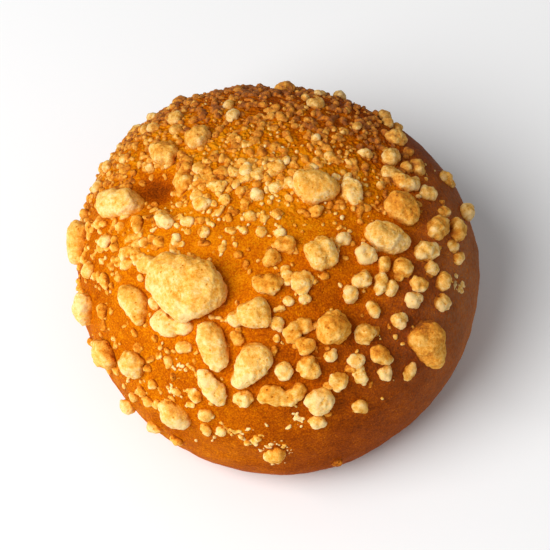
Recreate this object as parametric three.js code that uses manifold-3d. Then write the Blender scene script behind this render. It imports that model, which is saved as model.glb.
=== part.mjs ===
// A streusel bun: a round sweet yeast bun with butter crumble baked onto its top.
// Millimetres, +Z up. The origin is the centre of the flat base that the bun rests on.

import * as THREE from "three";
import { mergeVertices } from "three/addons/utils/BufferGeometryUtils.js";
import Module from "manifold-3d";

const wasm = await Module();
wasm.setup();

// Dough
const WIDTH = 104; // across the belly, which is the widest ring
const HEIGHT = 58; // from the flat base to the crown
const BELLY_HEIGHT = 20; // of the widest ring above the base
const UNDERSIDE_DEPTH = 34; // the underside would round down this far if the tray did not flatten it
const BASE_EDGE = 4; // over which the underside turns into the flat base
const BASE_LOBES = 3; // the flat base runs out in lobes that the bun stands on, one of them towards +X
const BASE_FLAT = 16; // radius of its middle, which is flat all round
const BASE_RISE = 0.4; // of the base's edge between the lobes
const FULLNESS = 2.3; // 2 gives an ellipsoid, and a larger number fuller shoulders
const DOUGH_DETAIL = 9; // splits of each edge of the icosahedron that the dough is shaped from
const LEVEL_FACE = Math.atan(2 / (3 + Math.sqrt(5))); // turn that lays a face of the icosahedron level below
const NORMAL_STEP = 0.01; // in radians, between the points that show which way the crust faces

// How far the belly is from a circle: the number of bulges, their share of the radius, where one points
const OUT_OF_ROUND = [
  { bulges: 2, share: 0.0145, towards: 135 },
  { bulges: 3, share: 0.016, towards: 19 },
];

// Hollows in the crust: azimuth from +X and tilt from the crown in degrees, radius and depth
const HOLLOWS = [
  { azimuth: 167, tilt: 44, radius: 7, depth: 4 }, // behind the lump on the left shoulder
  { azimuth: 223, tilt: 40, radius: 12, depth: 1.8 }, // where the great lump sank in
  { azimuth: 302, tilt: 47, radius: 6, depth: 1.6 }, // beside the round lump
];

// The photograph's eye, in a frame of 550 x 550 pixels. It looks along +Y at the middle of the belly.
const EYE = { elevation: 60, distance: 550, focal: 2115, middle: [276.5, 277] };
const EYE_REACH = 80; // of the search along a sight line, before and behind the middle of the belly
const EYE_STEP = 0.25;
const EYE_GRAZE = 0.1; // crust that faces the eye less than this counts as facing it by this much

// Crumble
const LUMP_SUNK = 0.26; // share of a lump's height that is below the crust
const CRUMB_SUNK = 0.3;
const CRUMB_HEIGHT = 0.82; // share of a crumb's width
const UNEVENNESS = 0.085; // of a crumb's surface, as a share of its radius
const WAVE_PITCHES = [2.5, 3.5, 4.5]; // of the soft waves that make a crumb uneven
const FIRST_SEED = { lumps: 100, read: 5000, spread: 9000 }; // each crumb's own shape is seeded from these
const GAP = 0.4; // between a lump and the crust, and between a lump and the crumbs
const DETAIL_LENGTHS = [6.2, 8.5, 12]; // at each of these lengths a crumb gets more faces
const LUMP_DETAIL = 2; // the least for a lump

// Lumps as large as berries, each a piece of its own. A lump is one or two rounded forms grown together,
// and a form is drawn tight round one or two blobs. A blob is its middle in the photograph's pixels,
// its length, width and height, and the turn of its length in the photograph.
const LUMPS = {
  lump_great: [[[195, 288, 18, 15, 11, -22], [165, 273, 10, 8.6, 7.6, 40]], [[148, 264, 5.2, 4.2, 4, 20]]],
  lump_pale: [[[167, 322, 7.6, 6.6, 4.4, 15]], [[182, 327, 4.8, 3.6, 3, -20]]],
  lump_left_shoulder: [[[111, 203, 7.6, 7.4, 6.4, 40], [126, 203, 7.4, 7, 6, -20]]],
  lump_left_rim_high: [[[79, 232, 6.4, 5.8, 5.2, 80], [76, 252, 6, 4.8, 4.6, 80]]],
  lump_left_rim_low: [[[83, 308, 9.8, 5.8, 5.4, 84]]],
  lump_left_front: [[[131, 299, 6.4, 5.6, 4.8, -60], [138, 316, 4.6, 3.6, 3.4, -62]]],
  lump_low_left: [[[172, 415, 8.2, 6.6, 5.4, -32]]],
  lump_lozenge: [[[210, 340, 8.4, 6.4, 5.4, -62], [218, 356, 7, 5.4, 4.8, -64]]],
  lump_teardrop: [[[256, 359, 8.8, 7.8, 6.4, 62], [242, 379, 5.4, 4.2, 4, 48]]],
  lump_bean: [[[257, 314, 7.8, 6.8, 5.6, -50], [247, 315, 5, 4.6, 4.4, 0]], [[238, 319, 5.4, 3.8, 3.8, 15]]],
  lump_crown: [[[313, 187, 9.2, 9, 6.4, 40], [330, 190, 5, 4.6, 4.4, -60]]],
  lump_egg: [[[322, 254, 8.6, 6.6, 5.6, -58]]],
  lump_round: [[[333, 330, 8.6, 7.8, 6.6, 0]]],
  lump_right_shoulder: [[[387, 237, 11.8, 7, 5.8, -12]]],
  lump_right_high: [[[402, 206, 8.6, 7.6, 6.2, -30], [408, 214, 5.6, 5, 4.6, 20]]],
  lump_right_flank: [[[427, 337, 8.4, 7.8, 7, 0], [432, 356, 6.6, 5.8, 5.6, -80]]],
};

// Crumbs baked onto the crust where the photograph shows them: the middle in its pixels,
// the length and width, and the turn of the length in the photograph
const CRUMBS_BACK = [
  [164, 153, 7.4, 6, -22], [197, 138, 6.4, 6, 60], [184, 183, 6, 5, -60], [187, 170, 4.4, 3.8, 50],
  [180, 102, 4.8, 4, 60], [175, 119, 4.4, 4, -30], [233, 117, 4, 3.6, 20], [285, 88, 5.4, 4, 0],
  [316, 104, 5.2, 3.6, 10], [384, 117, 4.6, 4, -30], [396, 138, 5.6, 4.8, -20], [277, 168, 5.6, 3.4, 0],
  [292, 174, 4, 2.8, -15], [246, 170, 4, 3.4, 10], [220, 172, 3.6, 3, 20], [153, 118, 4, 3.2, 10],
  [135, 131, 3.6, 3, 40], [154, 129, 3.6, 3, 0], [176, 130, 3.4, 2.8, 30], [120, 146, 3.2, 2.4, 70],
  [339, 97, 3.6, 3, -20], [320, 94, 3.8, 2.6, 0], [357, 127, 3.2, 2.6, -10], [366, 154, 4.4, 2.8, -15],
  [387, 123, 3, 2.8, 60], [397, 127, 2.8, 2.6, 0], [330, 157, 2.8, 2.4, 30], [315, 139, 2.6, 2.4, 0],
  [229, 105, 2.8, 2.4, 20], [245, 145, 2.8, 2.4, 0], [186, 162, 4, 3, 20], [240, 191, 3.2, 2.6, 80],
  [224, 201, 2.8, 2.6, 0], [257, 195, 3.6, 2.8, -50], [277, 214, 3.2, 2.6, 0], [251, 217, 3.2, 2.4, -20],
];
const CRUMBS_LEFT = [
  [164, 221, 6.2, 4, -42], [138, 224, 6, 2.8, 85], [200, 204, 4.8, 3.6, 10], [187, 222, 3.4, 2.8, 0],
  [205, 232, 4, 2.8, -70], [126, 253, 5, 2.8, 28], [127, 265, 4.6, 2.4, 32], [104, 242, 3.8, 3.4, -60],
  [89, 271, 5.2, 3.6, 55], [105, 281, 5, 2.6, -78], [103, 312, 4.8, 2.6, -82], [104, 355, 7.6, 7, 60],
  [131, 364, 6.8, 6.4, 0], [183, 347, 4.4, 3.6, -20], [128, 406, 5.4, 4.2, -40], [154, 427, 5.4, 3.8, -30],
  [177, 440, 4.2, 2.8, -30], [206, 415, 4, 3.6, 40], [206, 429, 3.4, 2.8, -50], [108, 167, 3.6, 3.2, 60],
  [97, 187, 3.6, 3, 60], [84, 214, 3, 2.8, 0], [123, 159, 2.6, 2.4, 0], [150, 168, 2.6, 2.4, 0],
  [157, 202, 3.6, 3.2, 60], [145, 244, 2.8, 2.2, 20], [160, 241, 2.8, 2.6, 0], [176, 240, 3.4, 2.4, 70],
  [155, 304, 3.4, 2.8, 20], [196, 396, 3.8, 2.8, -40], [148, 401, 3.2, 2.6, -40], [142, 391, 3, 2.4, -50],
  [153, 384, 3, 2.2, -70], [188, 373, 2.8, 2, 10], [222, 432, 3, 2.2, 60],
];
const CRUMBS_FRONT = [
  [213, 388, 9.2, 5, -54], [244, 399, 5.4, 4.4, 10], [272, 396, 6.4, 4.6, -15], [297, 392, 4.4, 4, 50],
  [286, 398, 6, 4.2, 0], [320, 400, 7, 6.4, -60], [318, 422, 4.8, 3.6, 0], [276, 455, 5.8, 4.8, 10],
  [267, 284, 7.2, 4.8, -12], [287, 275, 5.6, 2.6, -80], [302, 282, 6, 4.8, 75], [284, 245, 6, 4.4, 0],
  [271, 259, 4.8, 4.2, 50], [293, 332, 5.6, 4.4, 60], [304, 325, 4, 3.6, 30], [305, 345, 5.2, 4.2, 10],
  [283, 372, 4.6, 4.5, 0], [308, 368, 6.2, 4.6, -18], [277, 324, 3.6, 3.2, 60], [237, 339, 4.6, 2.8, -58],
  [352, 191, 7.8, 4.2, -76], [332, 281, 6.2, 5, 48], [362, 280, 5.6, 4.4, 15], [350, 294, 5, 3.6, 70],
  [261, 232, 2.8, 2.6, 0], [280, 233, 2.8, 2.4, -40], [304, 256, 3.2, 2.2, 80], [317, 211, 4, 2.6, 30],
  [305, 299, 2.8, 2.2, -30], [288, 301, 2.4, 2.2, 60], [337, 462, 2.4, 2.2, 0],
];
const CRUMBS_RIGHT = [
  [408, 152, 3.2, 2.4, -10], [407, 168, 4, 2.6, -40], [451, 184, 3, 2.6, -30], [343, 240, 4.4, 3.4, 20],
  [391, 157, 5.6, 4.8, 60], [417, 168, 5, 4.2, -60], [389, 172, 4, 3.2, 20], [403, 181, 6.8, 3.8, -34],
  [414, 184, 4, 3.4, 70], [429, 194, 5.8, 4, 0], [446, 178, 4.8, 3.6, -40], [466, 212, 5, 4.4, 60],
  [443, 212, 4, 3, 0], [437, 228, 6.4, 5, 25], [457, 230, 6.4, 5, 60], [425, 251, 6.4, 4.8, -5],
  [452, 246, 4.2, 2.6, -38], [458, 257, 3.8, 3, 40], [365, 255, 6, 5, -20], [384, 265, 4.2, 3.4, 70],
  [381, 284, 4.8, 3.4, 75], [391, 288, 4.4, 3.2, 60], [402, 268, 5, 4.8, 0], [432, 268, 4.4, 3.4, -35],
  [443, 281, 5, 4.4, -55], [418, 284, 6, 4.2, -12], [413, 300, 5.4, 4, -8], [443, 303, 5, 3.8, 20],
  [399, 320, 4.2, 3.8, 0], [373, 308, 4.6, 3.2, -70], [365, 334, 5.6, 5, 45], [381, 355, 6, 4.4, -25],
  [403, 351, 6, 4.2, 10], [384, 373, 4.2, 3.8, 0], [409, 372, 5.2, 3, 65], [357, 360, 4.2, 3.8, 0],
  [360, 375, 5.6, 3.4, -65], [338, 380, 5, 4.6, 20], [330, 356, 3.6, 3.2, 0], [360, 406, 5.4, 3.6, -35],
];
const CRUMBS = [...CRUMBS_BACK, ...CRUMBS_LEFT, ...CRUMBS_FRONT, ...CRUMBS_RIGHT];

// The smaller crumbs, and all of them on the far side, are spread evenly by a seeded rule
const SPREAD = { seed: 11, tries: 190, tilt: 96, apart: 0.95 };
const SPREAD_NEAR = { shortest: 2.1, longest: 3.4, every: 6 };
const SPREAD_FAR = { shortest: 2.6, longest: 7.2, every: 1 };
const SPREAD_SLIMNESS = 0.78; // width of such a crumb as a share of its length
const SPREAD_JITTER = 0.2; // of its azimuth, in radians
const FAR_SIDE = -0.2; // crust that faces the eye less than this is on the far side
const BARE_SKIRT = { tilt: 78, swing: 15, towards: 200 }; // below this tilt the crust is bare

const CRUST = { color: 0xc9771f, roughness: 0.45, metalness: 0 };
const STREUSEL = { color: 0xf0c06a, roughness: 0.85, metalness: 0 };

const GOLDEN_ANGLE = Math.PI * (3 - Math.sqrt(5));
const radians = THREE.MathUtils.degToRad;
const BELLY_MIDDLE = new THREE.Vector3(0, 0, BELLY_HEIGHT);

// A repeatable stream of numbers from 0 to 1
function seeded(seed) {
  let state = seed >>> 0;
  return () => {
    state = (state + 0x6d2b79f5) >>> 0;
    let mixed = Math.imul(state ^ (state >>> 15), state | 1);
    mixed ^= mixed + Math.imul(mixed ^ (mixed >>> 7), mixed | 61);
    return ((mixed ^ (mixed >>> 14)) >>> 0) / 4294967296;
  };
}

// A direction from the middle of the belly
function towards(azimuth, tilt) {
  const level = Math.sin(tilt);
  return new THREE.Vector3(level * Math.cos(azimuth), level * Math.sin(azimuth), Math.cos(tilt));
}

function smoothLeast(a, b, blend) {
  const share = Math.max(blend - Math.abs(a - b), 0) / blend;
  return Math.min(a, b) - (share * share * blend) / 4;
}

const hollowMiddles = HOLLOWS.map(({ azimuth, tilt }) => towards(radians(azimuth), radians(tilt)));

// Distance from the middle of the belly to the base, which the tray flattened
function baseRadius(direction) {
  const out = (BELLY_HEIGHT * Math.hypot(direction.x, direction.y)) / -direction.z;
  const lobe = Math.cos(BASE_LOBES * Math.atan2(direction.y, direction.x));
  const rise = THREE.MathUtils.smoothstep(out, BASE_FLAT, WIDTH / 2) * BASE_RISE * (1 - lobe) / 2;
  return (BELLY_HEIGHT - rise) / -direction.z;
}

// Distance from the middle of the belly to the crust
function doughRadius(direction) {
  const azimuth = Math.atan2(direction.y, direction.x);
  let bellyRadius = WIDTH / 2;
  for (const { bulges, share, towards: angle } of OUT_OF_ROUND) {
    bellyRadius += (WIDTH / 2) * share * Math.cos(bulges * (azimuth - radians(angle)));
  }
  const depth = direction.z >= 0 ? HEIGHT - BELLY_HEIGHT : UNDERSIDE_DEPTH;
  const across = Math.hypot(direction.x, direction.y) / bellyRadius;
  const along = Math.abs(direction.z) / depth;
  let radius = (across ** FULLNESS + along ** FULLNESS) ** (-1 / FULLNESS);
  HOLLOWS.forEach((hollow, index) => {
    const apart = radius * direction.angleTo(hollowMiddles[index]);
    radius -= hollow.depth * Math.exp(-((apart / hollow.radius) ** 2));
  });
  if (direction.z >= 0) return radius;
  return smoothLeast(radius, baseRadius(direction), BASE_EDGE);
}

function crustPoint(direction, lift = 0) {
  return direction.clone().multiplyScalar(doughRadius(direction) + lift).add(BELLY_MIDDLE);
}

// The way the crust faces at a direction, from two short steps along it
function crustNormal(direction) {
  const aside = new THREE.Vector3(0, 0, 1).cross(direction);
  if (aside.length() < NORMAL_STEP) aside.set(1, 0, 0);
  aside.normalize().multiplyScalar(NORMAL_STEP);
  const upward = direction.clone().cross(aside);
  const here = crustPoint(direction);
  const first = crustPoint(direction.clone().add(aside).normalize()).sub(here);
  const second = crustPoint(direction.clone().add(upward).normalize()).sub(here);
  return first.cross(second).normalize();
}

const elevation = radians(EYE.elevation);
const eyeBack = new THREE.Vector3(0, -Math.cos(elevation), Math.sin(elevation));
const eyeRight = new THREE.Vector3(1, 0, 0);
const eyeUp = eyeBack.clone().cross(eyeRight);
const eyePlace = eyeBack.clone().multiplyScalar(EYE.distance).add(BELLY_MIDDLE);

// The direction from the middle of the belly at which a pixel's sight line meets the lifted crust,
// or comes nearest to it
function seenDirection(x, y, lift) {
  const sight = eyeBack.clone().multiplyScalar(-EYE.focal)
    .addScaledVector(eyeRight, x - EYE.middle[0])
    .addScaledVector(eyeUp, EYE.middle[1] - y)
    .normalize();
  let nearest = { height: Infinity, direction: null };
  for (let reach = EYE.distance - EYE_REACH; reach < EYE.distance + EYE_REACH; reach += EYE_STEP) {
    const arm = eyePlace.clone().addScaledVector(sight, reach).sub(BELLY_MIDDLE);
    const direction = arm.clone().normalize();
    const height = arm.length() - doughRadius(direction) - lift;
    if (height < nearest.height) nearest = { height, direction };
    if (height < 0) break;
  }
  return nearest.direction;
}

function facesEye(direction) {
  return crustNormal(direction).dot(eyePlace.clone().sub(crustPoint(direction)).normalize());
}

// A place on the crust for a crumb: its middle and its length, width and height directions.
// The length lies in the crust and looks turned by the given angle in the photograph.
function crumbPlace(direction, lift, turn) {
  const normal = crustNormal(direction);
  const sight = crustPoint(direction).sub(eyePlace).normalize();
  const length = eyeRight.clone().multiplyScalar(Math.cos(turn)).addScaledVector(eyeUp, Math.sin(turn));
  const slope = Math.min(sight.dot(normal), -EYE_GRAZE);
  length.addScaledVector(sight, -length.dot(normal) / slope);
  length.addScaledVector(normal, -length.dot(normal)).normalize();
  const matrix = new THREE.Matrix4().makeBasis(length, normal.clone().cross(length), normal);
  return matrix.setPosition(crustPoint(direction, lift));
}

// Closed meshes to solids and back
function toSolid(geometry) {
  return new wasm.Manifold(new wasm.Mesh({
    numProp: 3,
    vertProperties: new Float32Array(geometry.attributes.position.array),
    triVerts: new Uint32Array(geometry.index.array),
  }));
}

function toMesh(name, solid, look) {
  const { vertProperties, triVerts } = solid.getMesh();
  const geometry = new THREE.BufferGeometry();
  geometry.setAttribute("position", new THREE.BufferAttribute(vertProperties, 3));
  geometry.setIndex(new THREE.BufferAttribute(triVerts, 1));
  geometry.computeVertexNormals();
  const mesh = new THREE.Mesh(geometry, new THREE.MeshStandardMaterial(look));
  mesh.name = name;
  return mesh;
}

// A ball of triangles with each point moved by a function of its direction
function shapedBall(detail, move) {
  const ball = new THREE.IcosahedronGeometry(1, detail).rotateY(LEVEL_FACE);
  ball.deleteAttribute("normal");
  ball.deleteAttribute("uv");
  const geometry = mergeVertices(ball);
  const position = geometry.attributes.position;
  const point = new THREE.Vector3();
  for (let index = 0; index < position.count; index += 1) {
    point.fromBufferAttribute(position, index).normalize();
    move(point);
    position.setXYZ(index, point.x, point.y, point.z);
  }
  return geometry;
}

function doughSolid(grow = 0) {
  return toSolid(shapedBall(DOUGH_DETAIL, (point) => point.copy(crustPoint(point, grow))));
}

function crumbDetail(length) {
  return DETAIL_LENGTHS.filter((limit) => length >= limit).length;
}

// One uneven crumb: an ellipsoid with a few soft waves over it
function crumbSolid(place, [length, width, height], detail, seed, grow = 0) {
  const random = seeded(seed);
  const waves = WAVE_PITCHES.map((pitch) => ({
    way: new THREE.Vector3(random() - 0.5, random() - 0.5, random() - 0.5).normalize().multiplyScalar(pitch),
    phase: 2 * Math.PI * random(),
  }));
  const geometry = shapedBall(detail, (point) => {
    let swell = 1;
    for (const { way, phase } of waves) swell += UNEVENNESS * Math.sin(point.dot(way) + phase);
    point.x *= (length * swell) / 2 + grow;
    point.y *= (width * swell) / 2 + grow;
    point.z *= (height * swell) / 2 + grow;
  });
  return toSolid(geometry.applyMatrix4(place));
}

// Lumps: each is its forms joined, with its foot cut to sit just clear of the crust
function lumpSolid(forms, lumpIndex, grow = 0) {
  const seed = FIRST_SEED.lumps * (lumpIndex + 1);
  return forms.map((blobs) => {
    const solids = blobs.map(([x, y, length, width, height, turn], blobIndex) => {
      const lift = height * (0.5 - LUMP_SUNK);
      const place = crumbPlace(seenDirection(x, y, lift), lift, radians(turn));
      const detail = Math.max(crumbDetail(length), LUMP_DETAIL);
      return crumbSolid(place, [length, width, height], detail, seed + blobIndex, grow);
    });
    return solids.length > 1 ? wasm.Manifold.hull(solids) : solids[0];
  }).reduce((joined, form) => joined.add(form));
}

const lumpNames = Object.keys(LUMPS);
const clearDough = doughSolid(GAP);
const grownLumps = lumpNames.map((name, index) => lumpSolid(LUMPS[name], index, GAP));
const roomForLumps = grownLumps.reduce((joined, lump) => joined.add(lump));
const lumps = lumpNames.map((name, index) => {
  const neighbours = grownLumps.slice(0, index);
  const lump = lumpSolid(LUMPS[name], index).subtract(clearDough);
  return neighbours.reduce((rest, neighbour) => rest.subtract(neighbour), lump);
});

// Crumbs: those read from the photograph, then the spread ones where there is room
function bakedCrumb(direction, length, width, turn, seed) {
  const height = width * CRUMB_HEIGHT;
  const lift = height * (0.5 - CRUMB_SUNK);
  const place = crumbPlace(direction, lift, turn);
  const solid = crumbSolid(place, [length, width, height], crumbDetail(length), seed);
  return { solid, middle: crustPoint(direction), reach: (length + width) / 4 };
}

function readCrumbs() {
  return CRUMBS.map(([x, y, length, width, turn], index) => {
    const lift = width * CRUMB_HEIGHT * (0.5 - CRUMB_SUNK);
    return bakedCrumb(seenDirection(x, y, lift), length, width, radians(turn), FIRST_SEED.read + index);
  });
}

function spreadCrumbs(placed) {
  const random = seeded(SPREAD.seed);
  const lowestRise = Math.cos(radians(SPREAD.tilt));
  const crumbs = [...placed];
  for (let index = 0; index < SPREAD.tries; index += 1) {
    const tilt = Math.acos(1 - ((index + 0.5) / SPREAD.tries) * (1 - lowestRise));
    const azimuth = index * GOLDEN_ANGLE + SPREAD_JITTER * (random() - 0.5);
    const sizeDraw = random() ** 2;
    const turn = Math.PI * random();
    const skirt = BARE_SKIRT.tilt + BARE_SKIRT.swing * Math.cos(azimuth - radians(BARE_SKIRT.towards));
    if (tilt > radians(skirt)) continue;
    const direction = towards(azimuth, tilt);
    const { shortest, longest, every } = facesEye(direction) < FAR_SIDE ? SPREAD_FAR : SPREAD_NEAR;
    if (index % every) continue;
    const length = shortest + sizeDraw * (longest - shortest);
    const width = length * SPREAD_SLIMNESS;
    const crumb = bakedCrumb(direction, length, width, turn, FIRST_SEED.spread + index);
    const crowded = crumbs.some(({ middle, reach }) =>
      middle.distanceTo(crumb.middle) < SPREAD.apart * (reach + crumb.reach));
    if (!crowded) crumbs.push(crumb);
  }
  return crumbs;
}

const bun = spreadCrumbs(readCrumbs())
  .filter(({ solid }) => solid.intersect(roomForLumps).isEmpty())
  .reduce((joined, { solid }) => joined.add(solid), doughSolid());

const streuselBun = new THREE.Group();
streuselBun.name = "streusel_bun";
streuselBun.add(toMesh("bun", bun, CRUST));
lumps.forEach((lump, index) => streuselBun.add(toMesh(lumpNames[index], lump, STREUSEL)));

export default streuselBun;
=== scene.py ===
"""A streusel bun: egg-washed crust and baked-on butter crumble, on a pale studio floor."""

import math
from math import radians

import bmesh
import bpy
import numpy as np
from mathutils import Matrix, Vector
from mathutils.kdtree import KDTree


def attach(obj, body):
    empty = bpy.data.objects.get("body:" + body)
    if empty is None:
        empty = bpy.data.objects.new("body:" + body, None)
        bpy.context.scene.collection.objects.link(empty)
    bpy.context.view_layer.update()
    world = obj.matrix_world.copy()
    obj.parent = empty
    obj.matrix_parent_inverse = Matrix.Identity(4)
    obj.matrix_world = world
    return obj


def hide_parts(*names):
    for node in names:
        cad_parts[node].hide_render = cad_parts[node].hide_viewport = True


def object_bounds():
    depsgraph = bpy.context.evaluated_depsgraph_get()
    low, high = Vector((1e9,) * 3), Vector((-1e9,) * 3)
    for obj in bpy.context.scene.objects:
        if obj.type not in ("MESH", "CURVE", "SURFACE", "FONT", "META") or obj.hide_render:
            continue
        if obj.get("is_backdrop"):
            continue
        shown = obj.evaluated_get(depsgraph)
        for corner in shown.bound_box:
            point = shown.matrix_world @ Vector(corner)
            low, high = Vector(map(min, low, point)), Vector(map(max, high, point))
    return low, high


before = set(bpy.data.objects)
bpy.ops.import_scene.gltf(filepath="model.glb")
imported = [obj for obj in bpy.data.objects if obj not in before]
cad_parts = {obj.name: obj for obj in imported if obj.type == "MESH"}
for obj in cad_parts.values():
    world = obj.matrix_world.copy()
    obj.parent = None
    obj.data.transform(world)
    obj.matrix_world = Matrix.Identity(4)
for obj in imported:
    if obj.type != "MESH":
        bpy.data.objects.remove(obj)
cad_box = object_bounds()

MM = 0.001

# Dough, with the same form as the solid that it stands for
WIDTH = 104 * MM
HEIGHT = 58 * MM
BELLY_HEIGHT = 20 * MM  # where the bun is widest
BELLY_MIDDLE = np.array((0, 0, BELLY_HEIGHT))
UNDERSIDE_DEPTH = 34 * MM  # how far the underside would reach below the belly if the base didn't cut it
BASE_EDGE = 4 * MM  # how far the edge of the base is rounded
FULLNESS = 2.3  # 2 makes an ellipse, and more makes a fuller dome
OUT_OF_ROUND = ((2, 0.0145, 135), (3, 0.016, 19))  # bulges, share of the radius, where one points
LEAST_FALL = 1e-6  # stands for 0 where the way to the base is worked out
CRUST_CELLS = 120  # along each side of the six patches that the crust is made of

# Places on the crust, as azimuth from +X and tilt from the crown in degrees
DENT = (167, 44)  # the dark hollow behind the lump on the left shoulder
DENT_RADIUS = 7 * MM
DENT_DEPTH = 4 * MM
DENT_FLOOR = (165, 47)  # the bare spot in it
DENT_BARE = 4.5 * MM
HOLLOWS = (  # place, radius and depth
    (DENT, DENT_RADIUS, DENT_DEPTH), ((223, 40), 12 * MM, 1.8 * MM), ((302, 47), 6 * MM, 1.6 * MM))
SCARS = (  # where crumble broke off and left a ring of flakes of a given radius
    ((275, 73), 1.2 * MM), ((263, 78), 2.2 * MM), ((257, 77), 1.3 * MM), ((237, 64), 1.2 * MM),
    ((239, 71), 1.0 * MM), ((270, 84), 3.0 * MM), ((270, 90), 1.0 * MM), ((344, 68), 1.4 * MM))
SCAR_RIM = 0.7 * MM
STUMPS = (((270, 84), 0.4), ((287, 97), 0.8))  # what is left of crumbs that broke off, how brown it is
STUMP_RADIUS = 3 * MM
BARE_SKIRT = (78, 15, 200)  # tilt below which the crust is bare, its swing and where it is lowest
SKIRT_FADE = 8

# The granular crown: where it begins at the front and ends on the right, and how its front leans
CROWN_FRONT = -12 * MM
CROWN_FADE = 13 * MM
CROWN_LEAN_LEFT = -0.35
CROWN_LEAN_RIGHT = 0.25
CROWN_RIGHT = 34 * MM
CROWN_RIGHT_FADE = 9 * MM

# How thickly small crumbs lie
LEFT_CRUMBS = (-20 * MM, 45 * MM)  # how far left of the middle they begin to thicken, and the fade
RIGHT_CRUMBS = 0.45  # share of them that lies on the right
BAND = (-3 * MM, 11 * MM)  # middle and width, along Y, of the band where they lie thickest
BAND_CRUMBS = 1.3  # how many more lie in it
CREST_ACROSS = (-8 * MM, 18 * MM)  # middle and width of the pale crest along X
CREST_ALONG = (7 * MM, 5 * MM)  # and along Y

# Browning of the crust, with painted shadow in the dent: what each part adds to the usual, on a scale from
# 0, pale, to 1, dark
USUAL_BAKE = 0.315
FRONT_RIGHT_BAKE = 0.44
LEFT_BAKE = 0.18
BACK_BAKE = 0.54
DENT_BAKE_AND_SHADOW = 0.6
SCAR_BAKE = -0.12

# Where those parts lie: the way that they face with its spread, or where they begin with a fade
FRONT_RIGHT_FACING = (310, 60)
FRONT_RIGHT_TILT = (15, 45)
# The crust's right flank gets a painted sheen: a greyish tone for the reflection of the bright studio
RIGHT_SHEEN_FACING = (352, 36)
RIGHT_PAINTED_SHEEN = 0.42  # how much painted sheen the crust has there: a greyish tone for the reflection of the bright studio
LOW_TILT = (45, 20)
LEFT_SIDE = (20 * MM, 30 * MM)
LEFT_FRONT_END = (-45 * MM, 40 * MM)
BACK_SIDE = (12 * MM, 30 * MM)
BACK_LEAN = 0.4  # how much further forward the back begins for each metre to the right

# Fine surface
NOISE_MIDDLE = 0.5  # of noise and of random draws from 0 to 1
PIT_CORE = 0.12  # a pit is deepest up to here and ends at its edge, as shares of the pits' spacing
PIT_EDGE = 0.24
CELLS_WITHOUT_PIT = 0.5  # share of the places for a pit that stay smooth
GRANULE_EDGE = 0.65  # where a granule's dome comes down to 0, as a share of its size
BUMP_EDGE = 0.6  # the same for a bump of the crust
GRAIN_MIDDLE = 0.5  # how far from a grain's middle it neither rises nor sinks, as a share of its size
SHEEN_AND_SHADE_SPECK = 0.9 * MM  # size of the specks of painted sheen and painted shade
SHEEN_AND_SHADE_PATCHINESS = 3.0
MIX_FIRST, MIX_SECOND, MIX_RESULT = 6, 7, 2  # sockets of a Mix node that mixes colours

# Streusel
LUMP_VOXEL = 0.27 * MM
CRUMB_VOXEL = 0.34 * MM
SCATTER_VOXEL = 0.3 * MM
FLAKE_VOXEL = 0.2 * MM
LUMP_ROUNDING = 9  # how many times the cells of a lump or a crumb are smoothed
SCATTER_ROUNDING = 3
ROUNDING_STRENGTH = 0.5
WELD = 0.001 * MM  # corners nearer than this are one corner
FOOT_HEIGHT = 0.9 * MM  # what is lower than this above the crust is a lump's foot
FOOT_DEPTH = 1.6 * MM  # how far a foot is pushed into the crust
SKIN_TOLERANCE = 0.2 * MM  # what stands less proud than this is crust, not crumb
LEAST_CRUMB = 1.0 * MM  # height of the lowest crumb
DENT_SLACK = 1.3 * MM  # how far the solid's flat facets bridge the dent
RIM_TOAST_AND_SHADE = 0.55  # how much browner a crumb is where it meets the crust, partly toasting and partly painted contact shade
RIM_HEIGHT = 1.05 * MM
MELT_PALENESS = 0.06  # how much paler the crust is where a crumb has melted into it
MELT_CRUMBLE = 0.6  # how crumbly the crust is there
MELT_WIDTH = 1.0 * MM
MELT_STEP = 3  # every third point of the streusel is near enough
HOLLOW_SHADE = 5.5 / MM  # painted shade: how much browner streusel is for each metre that its neighbours stand higher; ridges get a painted highlight the same way
HOLLOW_BLUR = 3
TOP_TOAST_AND_SHADE = 0.25  # how much browner streusel is where it faces up, as toasting, and back away from the key light, as painted shade
TOAST_AND_SHADE_WAY = np.array((0.1, 0.45, 0.88))
TOP_USUAL = 0.55  # how far the faces of streusel look that way on the whole
STREUSEL_PAINTED_SHADE = {"Back": 0.45, "Right": 0.2}  # painted shade on streusel towards the bun's edge on each side
USUAL_TOAST = 0.31
LUMP_TOAST = {
    "lump_great": 0.3, "lump_pale": 0.12, "lump_left_rim_low": 0.2, "lump_low_left": 0.25,
    "lump_teardrop": 0.24, "lump_round": 0.55, "lump_right_shoulder": 0.2, "lump_right_high": 0.5,
    "lump_right_flank": 0.6}

# Pebbles that small crumbs are made of: shares of their size each way, and turns in radians
SLIMMEST = (0.85, 0.7, 0.8)
FULLEST = (1.3, 1.05, 1.0)
LEAST_TURN = (-0.4, -0.4, 0.0)
MOST_TURN = (0.4, 0.4, 6.283)
MANY_SMALL = 2.5  # the higher, the more of them are near the smallest size

# The photograph's eye, in a frame of 550 x 550 pixels
FRAME_PIXELS = 550
EYE_ELEVATION = 60
EYE_DISTANCE = 550 * MM
EYE_FOCAL = 2115  # in pixels
EYE_MIDDLE = (276.5, 277)  # the pixel of the middle of the belly

# Light and floor, in metres and watts
KEY_WAY = (-0.58, -0.36, 0.76)  # from the bun towards the light
KEY_DISTANCE = 1.0
KEY_WIDTH = 0.8
KEY_POWER = 11.5
WORLD_TONE = (1, 1, 1, 1)
WORLD_STRENGTH = 0.31
FLOOR_REACH = 3
FLOOR_TONE = (0.94, 0.94, 0.94, 1)
FLOOR_ROUGHNESS = 0.9


# Nodes

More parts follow.
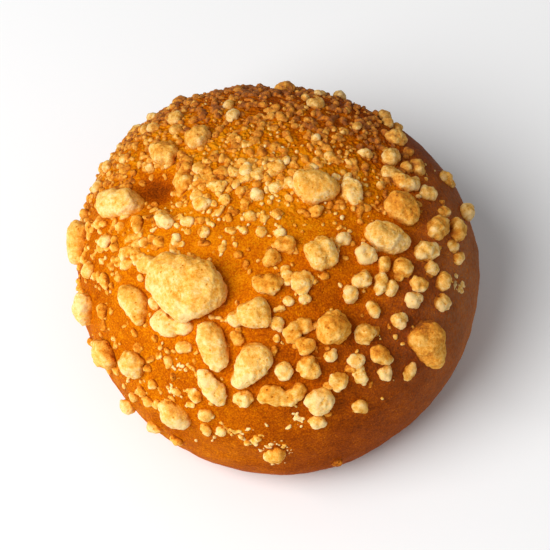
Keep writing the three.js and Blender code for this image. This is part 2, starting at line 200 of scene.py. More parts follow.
def add_node(tree, kind, sockets=None, **settings):
    """A node with its settings made, and its sockets set or linked."""
    made = tree.nodes.new(kind)
    for label, value in settings.items():
        setattr(made, label, value)
    for key, value in (sockets or {}).items():
        if isinstance(value, bpy.types.NodeSocket):
            tree.links.new(value, made.inputs[key])
        else:
            made.inputs[key].default_value = value
    return made


def math_node(tree, operation, first, second=0.0):
    """One step of arithmetic, for either kind of tree."""
    return add_node(tree, "ShaderNodeMath", {0: first, 1: second}, operation=operation).outputs[0]


def add_share(tree, total, value, share):
    """A total with a share of a value added, for either kind of tree."""
    return math_node(tree, "ADD", total, math_node(tree, "MULTIPLY", value, share))


def map_node(tree, value, start, end, first, last, **settings):
    """A value brought from one span to another, for either kind of tree."""
    spans = {"From Min": start, "From Max": end, "To Min": first, "To Max": last}
    return add_node(tree, "ShaderNodeMapRange", {"Value": value, **spans}, **settings).outputs["Result"]


def noise_node(tree, size, **settings):
    """Noise with a given feature size, for either kind of tree."""
    scale = math_node(tree, "DIVIDE", 1.0, size)
    return add_node(tree, "ShaderNodeTexNoise", {"Scale": scale, **settings}).outputs


def uneven_node(tree, size, **settings):
    """Noise about 0, for either kind of tree."""
    return math_node(tree, "SUBTRACT", noise_node(tree, size, **settings)["Fac"], NOISE_MIDDLE)


def voronoi_node(tree, size, **settings):
    """Cells of a given size, for either kind of tree."""
    scale = math_node(tree, "DIVIDE", 1.0, size)
    return add_node(tree, "ShaderNodeTexVoronoi", {"Scale": scale, **settings}).outputs


def scale_vector(tree, vector, scale):
    scaled = add_node(tree, "ShaderNodeVectorMath", {0: vector, "Scale": scale}, operation="SCALE")
    return scaled.outputs[0]


# Geometry trees and pieces

def geometry_tree(name, inputs):
    """An empty geometry tree with named inputs, its input sockets and its output socket."""
    tree = bpy.data.node_groups.new(name, "GeometryNodeTree")
    tree.interface.new_socket("Geometry", in_out="INPUT", socket_type="NodeSocketGeometry")
    for label, kind in inputs.items():
        tree.interface.new_socket(label, in_out="INPUT", socket_type="NodeSocket" + kind)
    tree.interface.new_socket("Geometry", in_out="OUTPUT", socket_type="NodeSocketGeometry")
    given = tree.nodes.new("NodeGroupInput").outputs
    result = tree.nodes.new("NodeGroupOutput").inputs[0]
    return tree, given, result


def read_attribute(tree, name):
    return add_node(tree, "GeometryNodeInputNamedAttribute", {"Name": name}, data_type="FLOAT").outputs[0]


def store_attribute(tree, geometry, name, value):
    stored = add_node(tree, "GeometryNodeStoreNamedAttribute", {
        "Geometry": geometry, "Name": name, "Value": value}, data_type="FLOAT", domain="POINT")
    return stored.outputs[0]


def shift_points(tree, geometry, offset):
    return add_node(tree, "GeometryNodeSetPosition", {"Geometry": geometry, "Offset": offset}).outputs[0]


def move_along_normal(tree, geometry, rise):
    normal = tree.nodes.new("GeometryNodeInputNormal").outputs[0]
    return shift_points(tree, geometry, scale_vector(tree, normal, rise))


def end_tree(tree, geometry, material, result):
    done = add_node(tree, "GeometryNodeSetMaterial", {"Geometry": geometry, "Material": material})
    tree.links.new(done.outputs[0], result)
    return tree


def shape_by(piece, tree, values):
    """Puts a geometry tree on a piece, with its named inputs set."""
    modifier = piece.modifiers.new(tree.name, "NODES")
    modifier.node_group = tree
    for item in tree.interface.items_tree:
        if item.in_out == "INPUT" and item.name in values:
            modifier[item.identifier] = values[item.name]


def settle(piece):
    """Works a piece's modifiers into a plain smooth-shaded mesh."""
    graph = bpy.context.evaluated_depsgraph_get()
    rough = piece.data
    piece.data = bpy.data.meshes.new_from_object(
        piece.evaluated_get(graph), preserve_all_data_layers=True, depsgraph=graph)
    piece.modifiers.clear()
    piece.data.name = piece.name
    piece.data.shade_smooth()
    bpy.data.meshes.remove(rough)
    return piece


def new_piece(name, mesh):
    piece = bpy.data.objects.new(name, mesh)
    bpy.context.scene.collection.objects.link(piece)
    return piece


def mesh_points(mesh):
    points = np.empty(len(mesh.vertices) * 3)
    mesh.vertices.foreach_get("co", points)
    return points.reshape(-1, 3)


def keep_attribute(mesh, name, values):
    mesh.attributes.new(name, "FLOAT", "POINT").data.foreach_set("value", values)


def add_to_attribute(piece, name, change):
    """Adds one value for each point to an attribute of a piece."""
    attribute = piece.data.attributes[name].data
    values = np.empty(len(change))
    attribute.foreach_get("value", values)
    attribute.foreach_set("value", values + change)


# Dough form

def fade_in(values, start, fade):
    """0 up to a start, rising to 1 over a fade."""
    return np.clip((values - start) / fade, 0, 1)


def bell(values, middle, width):
    """1 at a middle, fading to 0 on both sides over a width."""
    return np.exp(-((values - middle) / width) ** 2)


def direction(azimuth, tilt):
    level = math.sin(radians(tilt))
    turn = radians(azimuth)
    return np.array((level * math.cos(turn), level * math.sin(turn), math.cos(radians(tilt))))


def ring(ways, radius, place, size, width):
    """1 on a ring round a place on the crust, fading to 0 inside and outside it."""
    apart = radius * np.arccos(np.clip(ways @ direction(*place), -1, 1))
    return bell(apart, size, width)


def near(ways, radius, place, width):
    """1 at a place on the crust, fading to 0 round it."""
    return ring(ways, radius, place, 0, width)


def dough_radius(ways):
    """Distance from the middle of the belly to the crust along each unit vector."""
    azimuth = np.arctan2(ways[:, 1], ways[:, 0])
    belly = np.full(len(ways), WIDTH / 2)
    for bulges, share, towards in OUT_OF_ROUND:
        belly += WIDTH / 2 * share * np.cos(bulges * (azimuth - radians(towards)))
    depth = np.where(ways[:, 2] >= 0, HEIGHT - BELLY_HEIGHT, UNDERSIDE_DEPTH)
    across = np.hypot(ways[:, 0], ways[:, 1]) / belly
    along = np.abs(ways[:, 2]) / depth
    radius = (across ** FULLNESS + along ** FULLNESS) ** (-1 / FULLNESS)
    for place, width, sunk in HOLLOWS:
        radius = radius - sunk * near(ways, radius, place, width)
    base = BELLY_HEIGHT / np.maximum(-ways[:, 2], LEAST_FALL)
    share = np.maximum(BASE_EDGE - np.abs(radius - base), 0) / BASE_EDGE
    return np.minimum(radius, base) - share ** 2 * BASE_EDGE / 4


def from_belly(points):
    """How far points are from the middle of the belly, and the unit vectors towards them."""
    arms = points - BELLY_MIDDLE
    reach = np.linalg.norm(arms, axis=1)
    return reach, arms / reach[:, None]


def height_above_crust(points):
    reach, ways = from_belly(points)
    return reach - dough_radius(ways)


# Shader groups that crust and streusel share

def shader_group(name, inputs, outputs):
    group = bpy.data.node_groups.new(name, "ShaderNodeTree")
    for label in inputs:
        group.interface.new_socket(label, in_out="INPUT", socket_type="NodeSocketFloat")
    for label in outputs:
        group.interface.new_socket(label, in_out="OUTPUT", socket_type="NodeSocketFloat")
    given = group.nodes.new("NodeGroupInput").outputs
    result = group.nodes.new("NodeGroupOutput").inputs
    place = group.nodes.new("ShaderNodeTexCoord").outputs["Object"]
    return group, given, result, place


def browning_group():
    """Uneven browning about 0, of one patch size."""
    group, given, result, place = shader_group("uneven_browning", ("Size",), ("Mask",))
    group.links.new(uneven_node(group, given["Size"], Vector=place, Detail=3), result["Mask"])
    return group


def baked_grain_group():
    """Fine grain of baked dough as a height, and a mask of scattered pits."""
    group, given, result, place = shader_group(
        "baked_grain", ("Grain size", "Pit spacing"), ("Height", "Pits"))
    grain = noise_node(group, given["Grain size"], Vector=place, Detail=5, Roughness=0.6)
    cells = voronoi_node(group, given["Pit spacing"], Vector=place)
    dot = map_node(group, cells["Distance"], PIT_CORE, PIT_EDGE, 1.0, 0.0)
    chosen = math_node(group, "GREATER_THAN", cells["Color"], CELLS_WITHOUT_PIT)
    pits = math_node(group, "MULTIPLY", dot, chosen)
    group.links.new(pits, result["Pits"])
    group.links.new(math_node(group, "SUBTRACT", grain["Fac"], pits), result["Height"])
    return group


def granules_group():
    """Small round granules as a height from 0 to 1."""
    group, given, result, place = shader_group("granules", ("Size",), ("Height",))
    cells = voronoi_node(group, given["Size"], Vector=place)
    dome = map_node(
        group, cells["Distance"], 0.0, GRANULE_EDGE, 1.0, 0.0, interpolation_type="SMOOTHSTEP")
    group.links.new(dome, result["Height"])
    return group


BROWNING = browning_group()
BAKED_GRAIN = baked_grain_group()
GRANULES = granules_group()


# Baked surfaces

def use_group(tree, group, **values):
    """A shader group's outputs, with its inputs set."""
    made = add_node(tree, "ShaderNodeGroup", node_tree=group)
    for label, value in values.items():
        made.inputs[label.replace("_", " ")].default_value = value
    return made.outputs


def tone_ramp(tree, tones, position):
    """A colour at a position between tones."""
    ramp = add_node(tree, "ShaderNodeValToRGB", {"Fac": position})
    stops = ramp.color_ramp.elements
    while len(stops) < len(tones):
        stops.new(1.0)
    for stop, (place, tone) in zip(stops, tones):
        stop.position = place
        stop.color = (*tone, 1)
    return ramp.outputs["Color"]


def baked_material(name, attribute, tones, sheen_and_shade_tone, browning, grain, pits, granules, finish):
    """A baked surface: tones from pale to dark, chosen by an attribute and by uneven browning, with a tone
    of painted sheen and painted shade mixed in where an attribute asks for it.
    """
    material = bpy.data.materials.new(name)
    material.use_nodes = True
    tree = material.node_tree
    surface = tree.nodes["Principled BSDF"]
    grain_size, grain_height = grain
    pit_spacing, pit_and_glint_tint = pits
    granule_size, granule_height, granule_tint = granules

    def read(label):
        return add_node(tree, "ShaderNodeAttribute", attribute_name=label).outputs["Fac"]

    fine = use_group(tree, BAKED_GRAIN, Grain_size=grain_size, Pit_spacing=pit_spacing)
    domes = use_group(tree, GRANULES, Size=granule_size)["Height"]
    domes = math_node(tree, "MULTIPLY", domes, read("crumbly"))
    # Pits darken the streusel; on the crust they are paler, as painted glints of its glossy skin
    tone = add_share(tree, read(attribute), fine["Pits"], pit_and_glint_tint)
    tone = add_share(tree, tone, domes, granule_tint)
    for size, share in browning:
        tone = add_share(tree, tone, use_group(tree, BROWNING, Size=size)["Mask"], share)
    # Specks and a tone of painted sheen on the crust and painted shade on streusel, mixed in by an
    # attribute
    specks = use_group(tree, BROWNING, Size=SHEEN_AND_SHADE_SPECK)["Mask"]
    patchy = add_share(tree, 1.0, specks, SHEEN_AND_SHADE_PATCHINESS)
    sheened_and_shaded = add_node(tree, "ShaderNodeMix", {
        "Factor": math_node(tree, "MULTIPLY", read("sheen_and_shade"), patchy),
        MIX_FIRST: tone_ramp(tree, tones, tone), MIX_SECOND: (*sheen_and_shade_tone, 1)}, data_type="RGBA")
    tree.links.new(sheened_and_shaded.outputs[MIX_RESULT], surface.inputs["Base Color"])
    height = add_share(tree, fine["Height"], domes, granule_height / grain_height)
    bump = add_node(tree, "ShaderNodeBump", {
        "Strength": 1.0, "Distance": grain_height, "Height": height})
    tree.links.new(bump.outputs["Normal"], surface.inputs["Normal"])
    for label, value in finish.items():
        surface.inputs[label].default_value = value
    return material


CRUST = baked_material(
    "crust", attribute="bake",
    tones=(
        (0.0, (0.8, 0.275, 0.006)), (0.2, (0.71, 0.215, 0.001)), (0.4, (0.565, 0.127, 0.0005)),
        (0.65, (0.36, 0.063, 0.0005)), (1.0, (0.15, 0.025, 0.001))),
    # a greyish tone of painted sheen
    sheen_and_shade_tone=(0.34, 0.18, 0.085),
    browning=((9 * MM, 0.5), (2.4 * MM, 0.35), (1.0 * MM, 0.35), (0.45 * MM, 1.0)),
    # the crust's paler pits are painted glints
    grain=(0.4 * MM, 0.2 * MM), pits=(1.2 * MM, -0.22), granules=(1.2 * MM, 0.5 * MM, -0.22),
    finish={
        "Roughness": 0.58, "Specular IOR Level": 0.012,
        "Subsurface Weight": 0.1, "Subsurface Scale": 1.2 * MM, "Subsurface Radius": (1.0, 0.4, 0.1)})
STREUSEL = baked_material(
    "streusel", attribute="toast",
    tones=(
        (0.0, (0.98, 0.675, 0.285)), (0.25, (0.93, 0.515, 0.11)), (0.5, (0.82, 0.335, 0.03)),
        (0.75, (0.62, 0.18, 0.008)), (1.0, (0.3, 0.068, 0.004))),
    # a darker tone of painted shade
    sheen_and_shade_tone=(0.19, 0.1, 0.05),
    browning=((5 * MM, 0.8), (1.8 * MM, 0.4), (0.9 * MM, 0.4), (0.35 * MM, 0.6)),
    grain=(0.35 * MM, 0.11 * MM), pits=(1.3 * MM, 0.28), granules=(0.75 * MM, 0.05 * MM, -0.05),
    finish={
        "Roughness": 0.75, "Specular IOR Level": 0.03,
        "Subsurface Weight": 0.4, "Subsurface Scale": 0.8 * MM, "Subsurface Radius": (1.0, 0.7, 0.4)})


# Crust

def crust_ball():
    """A closed ball of even four-sided cells: a gridded cube blown up round."""
    grid = bmesh.new()
    bmesh.ops.create_cube(grid, size=2)
    bmesh.ops.subdivide_edges(grid, edges=grid.edges[:], cuts=CRUST_CELLS - 1, use_grid_fill=True)
    mesh = bpy.data.meshes.new("crust")
    grid.to_mesh(mesh)
    grid.free()
    return mesh


def above_skirt(azimuth, tilt):
    """1 where crumble lies, fading to 0 below the line where the crust is bare."""
    middle, swing, towards = BARE_SKIRT
    limit = middle + swing * np.cos(np.radians(azimuth - towards))
    return fade_in(limit - tilt, 0, SKIRT_FADE)


def facing(azimuth, towards, spread):
    """1 where the crust faces a way, fading to 0 on both sides."""
    return bell((azimuth - towards + 180) % 360, 180, spread)


def on_crown(x, y):
    """1 on the granular crown, fading to 0 at the front and on the right."""
    front = CROWN_FRONT + np.where(x > 0, CROWN_LEAN_RIGHT, CROWN_LEAN_LEFT) * x
    return fade_in(y, front, CROWN_FADE) * fade_in(CROWN_RIGHT - x, 0, CROWN_RIGHT_FADE)


def crust_attributes(mesh, points, ways):
    """How thickly each kind of crumble covers the crust, and where it is brown (with painted shadow in the
    dent), where it has a painted sheen, and where it is crumbly.
    """
    x, y = points[:, 0], points[:, 1]
    azimuth = np.degrees(np.arctan2(ways[:, 1], ways[:, 0]))
    tilt = np.degrees(np.arccos(np.clip(ways[:, 2], -1, 1)))
    radius = np.linalg.norm(points - BELLY_MIDDLE, axis=1)
    dent = near(ways, radius, DENT_FLOOR, DENT_BARE)
    scars = sum(ring(ways, radius, place, size, SCAR_RIM) for place, size in SCARS)
    crumbly = above_skirt(azimuth, tilt) * (1 - dent) ** 2
    crown = crumbly * on_crown(x, y)

    leftward = np.maximum(fade_in(-x, *LEFT_CRUMBS), RIGHT_CRUMBS)
    crest = bell(x, *CREST_ACROSS) * bell(y, *CREST_ALONG)
    keep_attribute(mesh, "cover_crest", crumbly * crest)
    keep_attribute(mesh, "cover_all", crumbly * leftward * (1 + BAND_CRUMBS * bell(y, *BAND)))
    keep_attribute(mesh, "cover_crown", crown)
    keep_attribute(mesh, "cover_scars", np.clip(scars, 0, 1))

    low = fade_in(tilt, *LOW_TILT)
    front_right = fade_in(tilt, *FRONT_RIGHT_TILT) * facing(azimuth, *FRONT_RIGHT_FACING)
    left = low * fade_in(-x, *LEFT_SIDE) * fade_in(y, *LEFT_FRONT_END)
    back = fade_in(y + BACK_LEAN * x, *BACK_SIDE)
    browned = USUAL_BAKE + FRONT_RIGHT_BAKE * front_right + LEFT_BAKE * left + BACK_BAKE * back
    # the dent's darker tone is partly browning, partly painted shadow of the lump beside it
    keep_attribute(mesh, "bake", browned + DENT_BAKE_AND_SHADOW * dent + SCAR_BAKE * scars)
    # painted sheen on the lower right flank
    keep_attribute(mesh, "sheen_and_shade", RIGHT_PAINTED_SHEEN * low * facing(azimuth, *RIGHT_SHEEN_FACING))
    keep_attribute(mesh, "crumbly", crown)


def relief_tree():
    """Moves the crust along its normal: slow swells, small wrinkles, fine grain and crumble bumps."""
    layers = ("Swell", "Wrinkle", "Grain")
    sizes = [f"{layer} {what}" for layer in (*layers, "Bump") for what in ("size", "height")]
    tree, given, result = geometry_tree("crust_relief", {
        **dict.fromkeys(sizes, "Float"), "Bump paleness": "Float", "Material": "Material"})
    total = 0.0
    for layer in layers:
        noise = uneven_node(tree, given[f"{layer} size"], Detail=2.0)
        total = add_share(tree, total, noise, given[f"{layer} height"])
    cells = voronoi_node(tree, given["Bump size"])
    dome = math_node(tree, "SUBTRACT", BUMP_EDGE, cells["Distance"])
    dome = math_node(tree, "MAXIMUM", dome, 0.0)
    crumble = math_node(tree, "MULTIPLY", dome, read_attribute(tree, "cover_crown"))
    total = add_share(tree, total, crumble, given["Bump height"])
    paler = math_node(tree, "MULTIPLY", crumble, given["Bump paleness"])
    bake = math_node(tree, "SUBTRACT", read_attribute(tree, "bake"), paler)
    toned = store_attribute(tree, given["Geometry"], "bake", bake)
    moved = move_along_normal(tree, toned, total)
    return end_tree(tree, moved, given["Material"], result)


def make_crust():
    """The crust, with nothing of its relief below the base."""
    mesh = crust_ball()
    cube = np.tan(mesh_points(mesh) * math.pi / 4)
    ways = cube / np.linalg.norm(cube, axis=1)[:, None]
    points = BELLY_MIDDLE + ways * dough_radius(ways)[:, None]
    mesh.vertices.foreach_set("co", points.ravel())
    crust_attributes(mesh, points, ways)
    piece = new_piece("crust", mesh)
    shape_by(piece, relief_tree(), {
        "Swell size": 17 * MM, "Swell height": 2.2 * MM,
        "Wrinkle size": 4 * MM, "Wrinkle height": 0.5 * MM,
        "Grain size": 1.3 * MM, "Grain height": 0.14 * MM,
        "Bump size": 2.6 * MM, "Bump height": 1.0 * MM,
        "Bump paleness": 0.5, "Material": CRUST})
    settle(piece)
    points = mesh_points(piece.data)
    points[:, 2] = np.maximum(points[:, 2], 0)
    piece.data.vertices.foreach_set("co", points.ravel())
    return piece


# Finish of streusel

def grain_tree():
    """Makes smooth lumps granular, gives each island its own toasting, and adds painted shade towards the
    bun's back and right.
    """
    sizes = (
        "Swelling", "Knob size", "Knob height", "Grain size", "Grain height",
        "Toast", "Toast spread", "Back toast and shade", "Right toast and shade")
    tree, given, result = geometry_tree("streusel_grain", {
        **dict.fromkeys(sizes, "Float"), "Seed": "Int", "Material": "Material"})
    knobs = uneven_node(tree, given["Knob size"], Detail=2.0)
    grains = voronoi_node(tree, given["Grain size"])
    pits = math_node(tree, "SUBTRACT", GRAIN_MIDDLE, grains["Distance"])
    relief = math_node(tree, "MULTIPLY", knobs, given["Knob height"])
    relief = add_share(tree, relief, pits, given["Grain height"])
    relief = math_node(tree, "ADD", relief, given["Swelling"])
    moved = move_along_normal(tree, given["Geometry"], relief)

    island = tree.nodes.new("GeometryNodeInputMeshIsland").outputs["Island Index"]
    draw = add_node(tree, "FunctionNodeRandomValue", {
        "ID": island, "Seed": given["Seed"]}, data_type="FLOAT")
    spread = math_node(tree, "SUBTRACT", draw.outputs[1], NOISE_MIDDLE)
    toast = add_share(tree, given["Toast"], spread, given["Toast spread"])
    position = tree.nodes.new("GeometryNodeInputPosition").outputs[0]
    place = add_node(tree, "ShaderNodeSeparateXYZ", {0: position}).outputs
    sheen_and_shade = 0.0
    # Towards the back and the right: more toast, partly painted shade, and a tone of painted shade
    for axis, side in (("Y", "Back"), ("X", "Right")):
        share = map_node(tree, place[axis], 0.0, WIDTH / 2, 0.0, 1.0)
        toast = add_share(tree, toast, share, given[side + " toast and shade"])
        sheen_and_shade = add_share(tree, sheen_and_shade, share, STREUSEL_PAINTED_SHADE[side])
    for name, value in (("toast", toast), ("crumbly", 1.0), ("sheen_and_shade", sheen_and_shade)):
        moved = store_attribute(tree, moved, name, value)
    return end_tree(tree, moved, given["Material"], result)


GRAIN_TREE = grain_tree()


def brown_and_shade_rim(piece):
    """Browns streusel where it meets the crust: partly toasting, partly painted contact shade."""
    heights = height_above_crust(mesh_points(piece.data))
    add_to_attribute(piece, "toast", RIM_TOAST_AND_SHADE * np.exp(-np.maximum(heights, 0) / RIM_HEIGHT))


def shade_hollows_toast_tops(piece):
    """Paints shade into the hollows of streusel and highlight onto its ridges, and browns what faces up
    and back: toasting on top, painted shade on the side away from the key light.
    """
    mesh = piece.data
    points = mesh_points(mesh)
    ends = np.empty(len(mesh.edges) * 2, dtype=np.int32)
    mesh.edges.foreach_get("vertices", ends)
    ends = ends.reshape(-1, 2)
    here, there = np.concatenate((ends, ends[:, ::-1])).T
    neighbours = np.bincount(here, minlength=len(points))
    normals = np.empty(len(points) * 3)
    mesh.vertices.foreach_get("normal", normals)
    normals = normals.reshape(-1, 3)

    def round_about(values):
        return np.bincount(here, values[there], len(points)) / neighbours

    lift = np.column_stack([round_about(points[:, axis]) for axis in range(3)]) - points
    # hollows get painted shade, ridges a painted highlight
    depth = np.sum(lift * normals, axis=1)
    for _ in range(HOLLOW_BLUR):
        depth = round_about(depth)
    # faces up and back: toasting on top, painted shade on the side away from the key light
    up_and_back = np.maximum(normals @ TOAST_AND_SHADE_WAY, 0) - TOP_USUAL
    add_to_attribute(piece, "toast", HOLLOW_SHADE * depth + TOP_TOAST_AND_SHADE * up_and_back)


def finish_streusel(piece, voxel, rounding, values):
    """Fuses a piece's lumps into even cells, rounds them, and makes them granular and toasted, with
    painted shade in their hollows and at their feet.
    """
    remesh = piece.modifiers.new("even_cells", "REMESH")
    remesh.mode = "VOXEL"
    remesh.voxel_size = voxel
    smooth = piece.modifiers.new("rounding", "SMOOTH")
    smooth.factor = ROUNDING_STRENGTH
    smooth.iterations = rounding
    shape_by(piece, GRAIN_TREE, {**values, "Material": STREUSEL})
    settle(piece)
    shade_hollows_toast_tops(piece)
    brown_and_shade_rim(piece)
    return piece


# Lumps and crumbs, made from the surfaces of the CAD nodes

def node_shell(name):
    """A CAD node's surface with its loose triangles joined."""
    shell = bmesh.new()
    shell.from_mesh(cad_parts[name].data)
    bmesh.ops.remove_doubles(shell, verts=shell.verts, dist=WELD)
    return shell


def shell_heights(shell):
    """How far a shell's corners stand above the crust, or in the dent above the solid's facets."""
    reach, ways = from_belly(np.array([vertex.co[:] for vertex in shell.verts]))
    return reach - dough_radius(ways) - DENT_SLACK * near(ways, reach, DENT, DENT_RADIUS)


def sink(vertex, depth):
    vertex.co -= (vertex.co - Vector(BELLY_MIDDLE)).normalized() * depth


def islands(shell):
    """The faces of a shell, sorted into the pieces that hang together, in a fixed order."""
    left = dict.fromkeys(shell.faces)
    while left:
        found = [left.popitem()[0]]
        for face in found:
            for edge in face.edges:
                fresh = [other for other in edge.link_faces if other in left]
                for other in fresh:
                    del left[other]
                found.extend(fresh)
        yield found


def crumb_shells():
    """The crumbs that the bun's solid carries, cut off at the crust and closed again below it."""
    shell = node_shell("bun")
    shell.verts.index_update()
    heights = shell_heights(shell)
    highest = {face: max(heights[vertex.index] for vertex in face.verts) for face in shell.faces}
    crust_faces = [face for face in shell.faces if highest[face] < SKIN_TOLERANCE]
    bmesh.ops.delete(shell, geom=crust_faces, context="FACES")
    for island in list(islands(shell)):
        if max(highest[face] for face in island) < LEAST_CRUMB:
            bmesh.ops.delete(shell, geom=island, context="FACES")
    rim = [edge for edge in shell.edges if edge.is_boundary]
    walls = bmesh.ops.extrude_edge_only(shell, edges=rim)["geom"]
    for part in walls:
        if isinstance(part, bmesh.types.BMVert):
            sink(part, FOOT_DEPTH)
    bmesh.ops.holes_fill(shell, edges=[edge for edge in shell.edges if edge.is_boundary], sides=0)
    bmesh.ops.recalc_face_normals(shell, faces=shell.faces[:])
    return shell


def lump_shell(name):
    """One lump with its foot pushed into the crust."""
    shell = node_shell(name)
    for vertex, height in zip(shell.verts, shell_heights(shell)):
        if height < FOOT_HEIGHT:
            sink(vertex, FOOT_DEPTH)
    return shell


def brown_stumps(crumbs):
    """Browns what is left of the crumbs that broke off."""
    reach, ways = from_belly(mesh_points(crumbs.data))
    for place, toast in STUMPS:
        add_to_attribute(crumbs, "toast", toast * near(ways, reach, place, STUMP_RADIUS))


def make_streusel(name, shell, voxel, values):
    mesh = bpy.data.meshes.new(name)
    shell.to_mesh(mesh)
    shell.free()
    return finish_streusel(new_piece(name, mesh), voxel, LUMP_ROUNDING, values)


def make_lumps():
    lumps = {}
    for seed, name in enumerate(sorted(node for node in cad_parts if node.startswith("lump_"))):
        lumps[name] = make_streusel("baked_" + name, lump_shell(name), LUMP_VOXEL, {
            "Swelling": 0.2 * MM, "Knob size": 3.0 * MM, "Knob height": 1.7 * MM,
            "Grain size": 1.0 * MM, "Grain height": 0.14 * MM,
            "Toast": LUMP_TOAST.get(name, USUAL_TOAST), "Toast spread": 0.0,
            "Back toast and shade": 0.0, "Right toast and shade": 0.0, "Seed": seed})
    return lumps


def make_crumbs():
    crumbs = make_streusel("baked_crumbs", crumb_shells(), CRUMB_VOXEL, {
        "Swelling": 0.4 * MM, "Knob size": 2.2 * MM, "Knob height": 2.1 * MM,
        "Grain size": 0.9 * MM, "Grain height": 0.17 * MM,
        "Toast": 0.37, "Toast spread": 0.4, "Back toast and shade": 0.05, "Right toast and shade": 0.0, "Seed": 3})
    brown_stumps(crumbs)
    return crumbs


def melt_into_crust(crust, pieces):
    """Makes the crust paler and crumbly where streusel has melted into it."""
    points = np.concatenate([mesh_points(piece.data)[::MELT_STEP] for piece in pieces])
    tree = KDTree(len(points))
    for index, point in enumerate(points):
        tree.insert(point, index)
    tree.balance()
    apart = np.array([tree.find(point)[2] for point in mesh_points(crust.data)])
    melted = np.exp(-apart / MELT_WIDTH)
    add_to_attribute(crust, "bake", -MELT_PALENESS * melted)
    add_to_attribute(crust, "crumbly", MELT_CRUMBLE * melted)


# Small crumbs, the crown's crumble and flakes, spread over the crust and fused

def random_vector(tree, seed, least, most):
    drawn = add_node(tree, "FunctionNodeRandomValue", {
        0: least, 1: most, "Seed": seed}, data_type="FLOAT_VECTOR")
    return drawn.outputs[0]


def pebble_scale(tree, given):
    """How large each pebble is along its three axes."""
    draw = add_node(tree, "FunctionNodeRandomValue", {"Seed": given["Seed"]}, data_type="FLOAT").outputs[1]
    span = math_node(tree, "SUBTRACT", given["Largest"], given["Smallest"])
    size = add_share(tree, given["Smallest"], math_node(tree, "POWER", draw, MANY_SMALL), span)
    slimness = random_vector(tree, given["Seed"], SLIMMEST, FULLEST)
    squash = add_node(tree, "ShaderNodeCombineXYZ", {0: 1.0, 1: 1.0, 2: given["Flatness"]})
    form = add_node(tree, "ShaderNodeVectorMath", {
        0: slimness, 1: squash.outputs[0]}, operation="MULTIPLY")
    return scale_vector(tree, form.outputs[0], size)


def scatter_tree():
    """Spreads uneven pebbles over a surface by its cover attribute."""
    tree, given, result = geometry_tree("crumb_scatter", {
        "Cover": "String", "Per square metre": "Float", "Smallest": "Float", "Largest": "Float",
        "Flatness": "Float", "Splits": "Int", "Unevenness": "Float", "Seed": "Int",
        "Material": "Material"})
    cover = read_attribute(tree, given["Cover"])
    density = math_node(tree, "MULTIPLY", cover, given["Per square metre"])
    points = add_node(tree, "GeometryNodeDistributePointsOnFaces", {
        "Mesh": given["Geometry"], "Density": density, "Seed": given["Seed"]})
    pebble = add_node(tree, "GeometryNodeMeshIcoSphere", {"Radius": 0.5, "Subdivisions": given["Splits"]})
    turn = random_vector(tree, given["Seed"], LEAST_TURN, MOST_TURN)
    turned = add_node(tree, "FunctionNodeRotateRotation", {
        "Rotation": points.outputs["Rotation"],
        "Rotate By": add_node(tree, "FunctionNodeEulerToRotation", {0: turn}).outputs[0]},
        rotation_space="LOCAL")
    placed = add_node(tree, "GeometryNodeInstanceOnPoints", {
        "Points": points.outputs["Points"], "Instance": pebble.outputs["Mesh"],
        "Rotation": turned.outputs[0], "Scale": pebble_scale(tree, given)})
    real = add_node(tree, "GeometryNodeRealizeInstances", {"Geometry": placed.outputs[0]})
    centred = add_node(tree, "ShaderNodeVectorMath", {
        0: noise_node(tree, given["Largest"])["Color"], 1: (NOISE_MIDDLE,) * 3}, operation="SUBTRACT")
    strength = math_node(tree, "MULTIPLY", given["Unevenness"], given["Largest"])
    uneven = shift_points(tree, real.outputs[0], scale_vector(tree, centred.outputs[0], strength))
    return end_tree(tree, uneven, given["Material"], result)


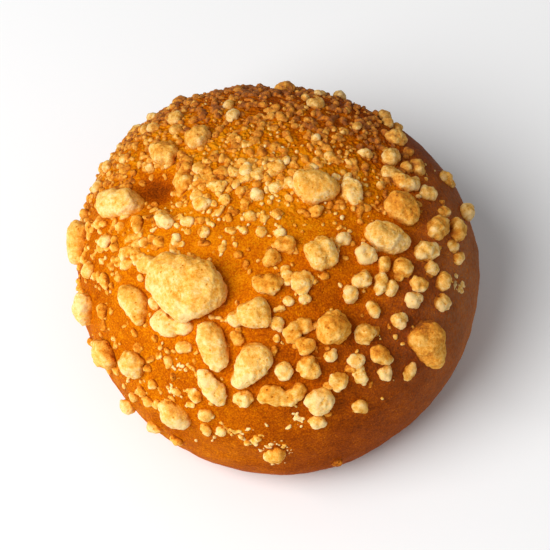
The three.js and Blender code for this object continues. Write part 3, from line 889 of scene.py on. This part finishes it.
# For each kind: the cells that it is fused into, how it is spread, and how it is finished
SCATTERS = {
    "small_crumbs": (
        SCATTER_VOXEL,
        {"Cover": "cover_all", "Per square metre": 95e3, "Smallest": 0.9 * MM, "Largest": 2.7 * MM,
         "Flatness": 0.85, "Splits": 2, "Unevenness": 0.8, "Seed": 5},
        {"Swelling": 0.12 * MM, "Knob size": 1.5 * MM, "Knob height": 0.9 * MM,
         "Grain size": 0.8 * MM, "Grain height": 0.2 * MM,
         "Toast": 0.42, "Toast spread": 0.35, "Back toast and shade": 0.2, "Right toast and shade": 0.05, "Seed": 7}),
    "crown_crumble": (
        SCATTER_VOXEL,
        {"Cover": "cover_crown", "Per square metre": 340e3, "Smallest": 0.9 * MM, "Largest": 2.4 * MM,
         "Flatness": 0.9, "Splits": 2, "Unevenness": 0.45, "Seed": 17},
        {"Swelling": 0.12 * MM, "Knob size": 1.6 * MM, "Knob height": 0.4 * MM,
         "Grain size": 0.8 * MM, "Grain height": 0.2 * MM,
         "Toast": 0.42, "Toast spread": 0.2, "Back toast and shade": 0.33, "Right toast and shade": 0.16, "Seed": 19}),
    "crest_crumbs": (
        SCATTER_VOXEL,
        {"Cover": "cover_crest", "Per square metre": 160e3, "Smallest": 1.6 * MM, "Largest": 4.0 * MM,
         "Flatness": 0.65, "Splits": 2, "Unevenness": 0.7, "Seed": 23},
        {"Swelling": 0.15 * MM, "Knob size": 1.8 * MM, "Knob height": 1.0 * MM,
         "Grain size": 0.8 * MM, "Grain height": 0.25 * MM,
         "Toast": 0.2, "Toast spread": 0.3, "Back toast and shade": 0.1, "Right toast and shade": 0.0, "Seed": 29}),
    "scar_flakes": (
        FLAKE_VOXEL,
        {"Cover": "cover_scars", "Per square metre": 1500e3, "Smallest": 0.6 * MM, "Largest": 1.7 * MM,
         "Flatness": 0.5, "Splits": 1, "Unevenness": 0.6, "Seed": 41},
        {"Swelling": 0.08 * MM, "Knob size": 1.0 * MM, "Knob height": 0.4 * MM,
         "Grain size": 0.6 * MM, "Grain height": 0.15 * MM,
         "Toast": -0.15, "Toast spread": 0.6, "Back toast and shade": 0.0, "Right toast and shade": 0.0, "Seed": 43}),
}


def make_scatters(crust):
    tree = scatter_tree()
    pieces = []
    for name, (voxel, spread, finish) in SCATTERS.items():
        piece = new_piece(name, crust.data.copy())
        shape_by(piece, tree, {**spread, "Material": STREUSEL})
        pieces.append(finish_streusel(piece, voxel, SCATTER_ROUNDING, finish))
    return pieces


# Studio

def make_camera():
    elevation = radians(EYE_ELEVATION)
    back = Vector((0, -math.cos(elevation), math.sin(elevation)))
    right = Vector((1, 0, 0))
    turn = Matrix((right, back.cross(right), back)).transposed().to_4x4()
    data = bpy.data.cameras.new("photo_eye")
    data.lens = data.sensor_width * EYE_FOCAL / FRAME_PIXELS
    data.shift_x = (FRAME_PIXELS / 2 - EYE_MIDDLE[0]) / FRAME_PIXELS
    data.shift_y = (EYE_MIDDLE[1] - FRAME_PIXELS / 2) / FRAME_PIXELS
    camera = bpy.data.objects.new("photo_eye", data)
    camera.matrix_world = Matrix.Translation(Vector(BELLY_MIDDLE) + back * EYE_DISTANCE) @ turn
    bpy.context.scene.collection.objects.link(camera)
    bpy.context.scene.camera = camera


def make_key_light():
    """A round soft light that shines at the bun."""
    data = bpy.data.lights.new("key", "AREA")
    data.shape = "DISK"
    data.size = KEY_WIDTH
    data.energy = KEY_POWER
    light = bpy.data.objects.new("key", data)
    way = Vector(KEY_WAY).normalized()
    light.location = Vector(BELLY_MIDDLE) + way * KEY_DISTANCE
    light.rotation_euler = way.to_track_quat("Z", "Y").to_euler()
    bpy.context.scene.collection.objects.link(light)


def make_floor():
    mesh = bpy.data.meshes.new("studio_floor")
    corners = ((-1, -1), (1, -1), (1, 1), (-1, 1))
    mesh.from_pydata([(x * FLOOR_REACH, y * FLOOR_REACH, 0) for x, y in corners], [], [(0, 1, 2, 3)])
    pale = bpy.data.materials.new("studio_floor")
    pale.use_nodes = True
    paint = pale.node_tree.nodes["Principled BSDF"]
    paint.inputs["Base Color"].default_value = FLOOR_TONE
    paint.inputs["Roughness"].default_value = FLOOR_ROUGHNESS
    mesh.materials.append(pale)
    new_piece("studio_floor", mesh)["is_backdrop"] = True


def make_world():
    world = bpy.data.worlds.new("studio")
    world.use_nodes = True
    sky = world.node_tree.nodes["Background"]
    sky.inputs["Color"].default_value = WORLD_TONE
    sky.inputs["Strength"].default_value = WORLD_STRENGTH
    bpy.context.scene.world = world
    bpy.context.scene.view_settings.view_transform = "Standard"


# The bun

def dress(piece, slot, *nodes):
    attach(piece, "root")
    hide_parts(*nodes)


make_camera()
make_floor()
make_key_light()
make_world()
crust = make_crust()
lumps = make_lumps()
crumbs = make_crumbs()
melt_into_crust(crust, [crumbs, *lumps.values()])
dress(crust, "crust", "bun")
dress(crumbs, "streusel", "bun")
for small in make_scatters(crust):
    dress(small, "streusel", "bun")
for node, lump in lumps.items():
    dress(lump, "streusel", node)

boxes = {"cad": cad_box, "visual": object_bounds()}
{name: [list(corner) for corner in box] for name, box in boxes.items()}
